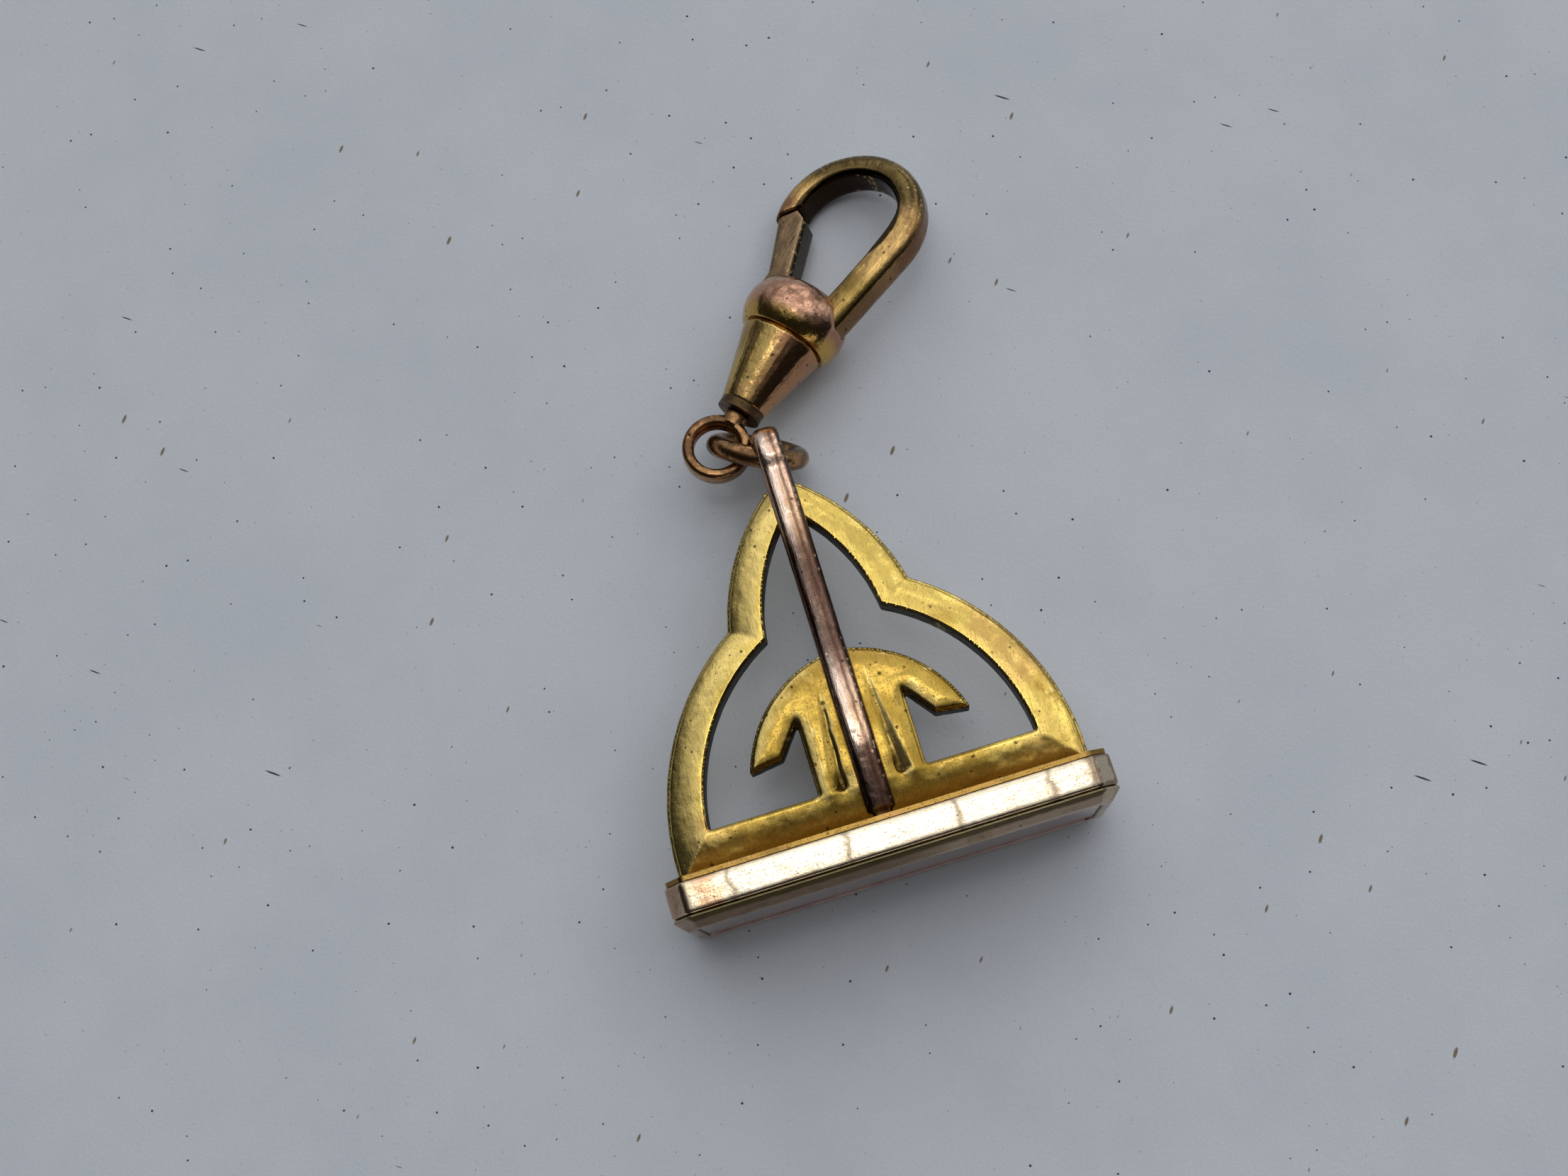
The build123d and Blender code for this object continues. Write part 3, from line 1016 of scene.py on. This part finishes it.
@dataclass
class PhotoCamera:
    """The camera, where the photograph was taken from.

    Attributes:
        place: Its place.
        right: Direction to the right of the picture.
        up: Direction to the top of the picture.
        back: Direction from the fob to the camera.
        lens: Focal length for a sensor as wide as sensor_width.
        sensor_width: Width of the sensor.
        nearest: Distance where it starts to see.
        farthest: Distance where it stops seeing.
    """

    place: Triple = (-1.16, -10.465, 110.35)
    right: Triple = (0.9553, -0.2868, -0.0721)
    up: Triple = (0.2957, 0.9289, 0.2231)
    back: Triple = (0.003, -0.2344, 0.9721)
    lens: float = 45.57
    sensor_width: float = 36.0
    nearest: float = 1.0
    farthest: float = 10_000.0

    def build(self) -> bpy.types.Object:
        """Place the camera and look through it.

        Returns:
            The camera.
        """
        data = bpy.data.cameras.new("photo_camera")
        data.lens = self.lens
        data.sensor_width = self.sensor_width
        data.clip_start = self.nearest * METRES
        data.clip_end = self.farthest * METRES
        camera = bpy.data.objects.new("photo_camera", data)
        turn = Matrix((self.right, self.up, self.back)).transposed().to_4x4()
        camera.matrix_world = Matrix.Translation(Vector(self.place) * METRES) @ turn
        bpy.context.scene.collection.objects.link(camera)
        bpy.context.scene.camera = camera
        return camera


def scratch(start: float, end: float, ragged: float) -> Zone:
    """Make a scratch across the base's band.

    Args:
        start: Where it starts along the base.
        end: Where it ends.
        ragged: How far its sides wander.

    Returns:
        The scratch.
    """
    colour = swatch(120, 106, 88)
    return Zone(
        Way.ALONG_BASE,
        start,
        end,
        colour,
        fade=0.3,
        share=0.6,
        ragged=ragged,
        roughness=0.2,
    )


GRIME = swatch(38, 28, 16)

BAND = AgedMetal(
    "brushed_pale_gilt",
    bright=swatch(246, 228, 198),
    tarnish=swatch(228, 198, 158),
    grime=swatch(112, 88, 64),
    edge=swatch(252, 240, 214),
    patch=3.0,
    tarnish_share=0.5,
    freckles=0.04,
    roughness=0.17,
    spread=0.08,
    blush=swatch(236, 204, 176),
    grain=Way.ALONG_BASE,
    swell=0.012,
    zones=(
        # Painted shade darkens the band's rounded ends, and a painted highlight makes the orange
        # patch near the left end
        Zone(Way.ALONG_BASE, -12.5, -11.0, swatch(150, 112, 88), fade=0.9, share=0.7),
        Zone(Way.ALONG_BASE, -10.2, -9.0, swatch(206, 138, 88), fade=0.9, share=0.6, ragged=0.9),
        # Painted shade at the band's right end
        Zone(Way.ALONG_BASE, 10.6, 12.5, swatch(122, 100, 84), fade=0.7, share=0.8),
        scratch(-8.65, -8.35, 0.4),
        scratch(-2.42, -2.12, 0.45),
        scratch(3.45, 3.75, 0.4),
        scratch(8.45, 8.75, 0.45),
    ),
)
LIP = AgedMetal(
    "dark_lip_gilt",
    bright=swatch(202, 184, 160),
    tarnish=swatch(150, 126, 104),
    grime=GRIME,
    edge=swatch(226, 214, 160),
    freckles=0.03,
    roughness=0.3,
    blush=swatch(196, 176, 164),
    grain=Way.ALONG_BASE,
    swell=0.01,
    zones=(
        # Painted shade: the lip darker towards its left end
        Zone(Way.ALONG_BASE, -12.5, 2.0, swatch(96, 76, 62), fade=5.0, share=0.6),
        # Painted reflection of the pale paper on the lip's lowest part
        Zone(Way.UP, -0.5, 1.6, swatch(196, 172, 168), fade=0.5, share=0.95, ragged=0.1),
        Zone(Way.UP, 8.78, 9.3, swatch(84, 76, 44), fade=0.14, share=0.85, ragged=0.05),
    ),
)
SEAL = AgedMetal(
    "polished_seal",
    bright=swatch(226, 202, 198),
    tarnish=swatch(200, 172, 166),
    grime=swatch(84, 66, 58),
    edge=swatch(216, 196, 186),
    patch=5.0,
    freckles=0.04,
    roughness=0.13,
    spread=0.06,
    blush=swatch(212, 186, 176),
    grain=Way.ALONG_BASE,
    grain_depth=0.001,
    swell=0.006,
)
SHEET = AgedMetal(
    "dull_gilt_sheet",
    bright=swatch(132, 102, 50),
    tarnish=swatch(84, 64, 32),
    grime=GRIME,
    edge=swatch(180, 144, 76),
    grain=Way.ALONG_BASE,
)
CASTING = AgedMetal(
    "yellow_gilt_casting",
    bright=swatch(232, 200, 106),
    tarnish=swatch(180, 142, 58),
    grime=swatch(66, 46, 22),
    edge=swatch(252, 232, 160),
    patch=3.0,
    tarnish_from=0.44,
    tarnish_share=0.8,
    blush=swatch(204, 150, 104),
    blush_share=0.35,
    freckles=0.18,
    roughness=0.19,
    zones=(
        # Painted shade: the middle of the casting darker
        Zone(Way.ALONG_BASE, -6.4, 6.4, swatch(150, 120, 46), fade=1.6, share=0.75),
        # Painted light: the upper part of the casting brighter
        Zone(Way.ALONG_FOB, 11.0, 23.0, swatch(240, 208, 112), fade=1.6, share=0.7),
    ),
    facings=(
        # Painted shade on surfaces turned towards the base and on the walls, painted light on
        # surfaces turned left
        Facing(Way.ALONG_FOB, -0.1, -0.24, swatch(124, 96, 40), share=0.75),
        Facing(Way.ALONG_BASE, -0.02, -0.16, swatch(250, 220, 138), share=0.65),
        Facing(Way.UP, 0.8, 0.42, swatch(38, 26, 15), share=1.0, both=True, roughness=0.3),
    ),
)
STRAP = AgedMetal(
    "streaked_rose_gilt",
    bright=swatch(232, 192, 166),
    tarnish=swatch(164, 116, 96),
    grime=swatch(44, 28, 24),
    edge=swatch(240, 208, 172),
    patch=2.2,
    blush=swatch(210, 168, 96),
    roughness=0.13,
    grain_depth=0.014,
    zones=(
        # Painted highlight: a bright stripe along the strap's crown; painted shade: a dark stripe
        # on its right flank
        Zone(Way.ALONG_BASE, -0.5, -0.08, swatch(255, 232, 214), fade=0.22, share=0.7, ragged=0.1),
        Zone(Way.ALONG_BASE, 0.14, 0.32, swatch(70, 44, 40), fade=0.14, share=0.7, ragged=0.08),
        # Painted shade: two darker stretches along the strap
        Zone(Way.ALONG_FOB, 9.8, 17.4, swatch(66, 45, 38), fade=2.4, share=0.88, ragged=0.9),
        Zone(Way.ALONG_FOB, 1.0, 5.4, swatch(72, 47, 38), fade=1.6, share=0.9),
    ),
    facings=(
        # Painted shade on the strap's sides, deepest on the side turned right
        Facing(Way.ALONG_BASE, 0.25, 0.7, swatch(62, 40, 34), share=0.92),
        Facing(Way.ALONG_BASE, -0.5, -0.95, swatch(120, 84, 70), share=0.7),
    ),
)
WIRE = AgedMetal(
    "reddish_gilt_wire",
    bright=swatch(178, 134, 90),
    tarnish=swatch(92, 66, 44),
    grime=swatch(34, 24, 16),
    edge=swatch(214, 176, 116),
    patch=1.2,
    tarnish_from=0.38,
    tarnish_share=0.85,
    blush=swatch(150, 92, 66),
    roughness=0.2,
)
BARREL = AgedMetal(
    "olive_gilt_barrel",
    bright=swatch(214, 180, 108),
    tarnish=swatch(160, 122, 74),
    grime=swatch(48, 34, 20),
    edge=swatch(236, 204, 130),
    patch=2.4,
    roughness=0.14,
    grain=Way.ALONG_CLIP,
    zones=(
        # Painted reflection of the paper: the copper-pink right side; painted shade: the olive left
        # side
        Zone(Way.ACROSS_CLIP, -15.1, -13.0, swatch(172, 118, 96), fade=1.0, share=0.75, ragged=0.4),
        Zone(Way.ACROSS_CLIP, -19.0, -17.2, swatch(150, 124, 66), fade=0.8, share=0.6, ragged=0.3),
    ),
)
COLLAR = AgedMetal(
    "rose_gilt_collar",
    bright=swatch(196, 150, 124),
    tarnish=swatch(150, 104, 82),
    grime=swatch(56, 34, 28),
    edge=swatch(236, 200, 160),
    patch=2.2,
    roughness=0.13,
    grain=Way.ACROSS_CLIP,
    zones=(
        Zone(Way.ALONG_CLIP, 21.0, 22.5, swatch(206, 170, 84), fade=0.9, share=0.85, ragged=0.4),
    ),
)
HOOK = AgedMetal(
    "copper_worn_gilt",
    bright=swatch(214, 174, 108),
    tarnish=swatch(118, 84, 56),
    grime=swatch(30, 22, 15),
    edge=swatch(232, 196, 128),
    tarnish_share=0.75,
    patch=2.6,
    roughness=0.15,
    grain=Way.ALONG_CLIP,
    zones=(
        Zone(Way.ALONG_CLIP, 23.0, 26.8, swatch(140, 116, 58), fade=1.4, share=0.7),
        Zone(Way.ALONG_CLIP, 31.6, 38.0, swatch(82, 70, 42), fade=1.8, share=0.88),
    ),
    # Painted reflection of the paper: pinkish brown on the bow's sides
    facings=(Facing(Way.OUT_OF_CLIP, 0.5, 0.1, swatch(110, 74, 58), share=0.75),),
    # The inside of the bow's opening is darkened: partly grime, partly painted shade
    inner_axis=(-16.43, 30.0),
)
GATE = AgedMetal(
    "worn_gate_gilt",
    bright=swatch(142, 118, 90),
    tarnish=swatch(90, 70, 50),
    grime=swatch(30, 24, 17),
    edge=swatch(214, 180, 132),
    patch=2.6,
    roughness=0.16,
    grain=Way.ALONG_CLIP,
    # Painted shade on the gate's side turned to the right
    facings=(Facing(Way.ACROSS_CLIP, 0.3, 0.7, swatch(44, 38, 26), share=0.95),),
)
RIVET = AgedMetal(
    "dark_rivet",
    bright=swatch(62, 48, 34),
    tarnish=swatch(36, 28, 20),
    grime=GRIME,
    edge=swatch(112, 88, 58),
    patch=0.6,
    roughness=0.36,
)
SPRING = AgedMetal(
    "dark_spring_steel",
    bright=swatch(104, 102, 100),
    tarnish=swatch(70, 64, 58),
    grime=GRIME,
    edge=swatch(140, 138, 134),
    patch=0.6,
)


def dress(node: str, finish: AgedMetal) -> None:
    """Give a CAD node that is shown as it is a better material.

    Args:
        node: The node's name.
        finish: Its metal.
    """
    made = finish.material()
    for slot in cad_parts[node].material_slots:
        slot.material = made
    log.info("%s: dressed", node)


@dataclass
class SealBase:
    """The rectangular base: its bent band, top sheet, bevelled lip and blank seal.

    Attributes:
        body: The body that it moves with.
        band_cell: Size of the band's divisions.
        band_softening: How many times the band's edges are eased.
        band_dents: Depth of the band's deepest dents.
        lip_cell: Size of the lip's divisions.
        lip_dents: Depth of the lip's deepest dents.
    """

    body: str = "fob"
    band_cell: float = 0.09
    band_softening: int = 14
    band_dents: float = 0.02
    lip_cell: float = 0.08
    lip_dents: float = 0.015

    def build(self) -> None:
        """Dress the seal and the sheet, and make the band and the lip."""
        dress("seal_plate", SEAL)
        dress("base_top_plate", SHEET)
        WornPiece(
            "base_band",
            "base_wall",
            self.body,
            "base_band",
            BAND,
            cell=self.band_cell,
            softening=self.band_softening,
            dent_depth=self.band_dents,
        ).build()
        WornPiece(
            "bevelled_lip",
            "bezel_lip",
            self.body,
            "lip_gilt",
            LIP,
            cell=self.lip_cell,
            dent_depth=self.lip_dents,
        ).build()


@dataclass
class TrefoilFrame:
    """The pierced trefoil casting, and the yoke's strap over it.

    Attributes:
        body: The body that they move with.
        casting_cell: Size of the casting's divisions.
        casting_dome: How the casting's outer faces are domed.
        strap_cell: Size of the strap's divisions.
        strap_softening: How many times the strap's edges are eased.
    """

    body: str = "fob"
    casting_cell: float = 0.086
    casting_dome: Dome = Dome(Way.UP, low=0.0, high=0.5, depth=0.13, reach=1.0)
    strap_cell: float = 0.06
    strap_softening: int = 60

    def build(self) -> None:
        """Make the casting and the strap."""
        WornPiece(
            "trefoil_casting",
            "wide_frame",
            self.body,
            "frame_gilt",
            CASTING,
            cell=self.casting_cell,
            dome=self.casting_dome,
        ).build()
        WornPiece(
            "yoke_strap",
            "yoke",
            self.body,
            "yoke_gilt",
            STRAP,
            cell=self.strap_cell,
            softening=self.strap_softening,
        ).build()


@dataclass
class RingAndEye:
    """The jump ring, and the swivel's eye that hangs on it.

    Attributes:
        cell: Size of their divisions.
        dents: Depth of their deepest dents.
    """

    cell: float = 0.05
    dents: float = 0.02

    def build(self) -> None:
        """Make the ring and the eye."""
        for name, node, body, slot in (
            ("ring_wire", "jump_ring", "ring", "ring_gilt"),
            ("eye_loop", "swivel_eye", "eye", "eye_gilt"),
        ):
            WornPiece(
                name,
                node,
                body,
                slot,
                WIRE,
                cell=self.cell,
                dent_depth=self.dents,
            ).build()


@dataclass
class SwivelClip:
    """The clip that turns on the eye: its washer, barrel, collar and bow.

    Attributes:
        body: The body that it moves with.
        barrel_cell: Size of the barrel's divisions.
        barrel_dents: Depth of the barrel's deepest dents.
        collar_cell: Size of the collar's divisions.
        bow_cell: Size of the bow's divisions.
        bow_softening: How many times the bow's edges are eased.
    """

    body: str = "clip"
    barrel_cell: float = 0.06
    barrel_dents: float = 0.02
    collar_cell: float = 0.05
    bow_cell: float = 0.06
    bow_softening: int = 60

    def build(self) -> None:
        """Dress the washer, and make the barrel, the collar and the bow."""
        dress("neck_washer", RIVET)
        WornPiece(
            "barrel_cone",
            "barrel",
            self.body,
            "barrel_gilt",
            BARREL,
            cell=self.barrel_cell,
            dent_depth=self.barrel_dents,
        ).build()
        WornPiece(
            "collar_bead",
            "collar",
            self.body,
            "collar_rose",
            COLLAR,
            cell=self.collar_cell,
        ).build()
        WornPiece(
            "hook_bow",
            "hook",
            self.body,
            "hook_gilt",
            HOOK,
            cell=self.bow_cell,
            softening=self.bow_softening,
        ).build()


@dataclass
class SprungGate:
    """The bar that closes the bow, with its pin and its leaf spring.

    Attributes:
        body: The body that the bar moves with.
        cell: Size of the bar's divisions.
        softening: How many times the bar's edges are eased.
        dents: Depth of the bar's deepest dents.
    """

    body: str = "gate"
    cell: float = 0.05
    softening: int = 10
    dents: float = 0.02

    def build(self) -> None:
        """Dress the pin and the spring, and make the bar."""
        dress("gate_pin", RIVET)
        dress("gate_spring", SPRING)
        WornPiece(
            "gate_bar",
            "gate",
            self.body,
            "gate_gilt",
            GATE,
            cell=self.cell,
            softening=self.softening,
            dent_depth=self.dents,
        ).build()


def corners() -> list[list[float]]:
    """Find the whole object's lowest and highest corner, as plain lists."""
    return [[float(value) for value in corner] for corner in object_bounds()]


def main() -> None:
    """Build the camera, the room, the floor and every piece."""
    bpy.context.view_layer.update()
    bpy.context.scene.view_settings.view_transform = "Standard"
    PhotoCamera().build()
    Studio().build()
    PaperFloor().build()
    SealBase().build()
    TrefoilFrame().build()
    RingAndEye().build()
    SwivelClip().build()
    SprungGate().build()


if __name__ == "__main__":
    logging.basicConfig(level=logging.INFO)
    main()
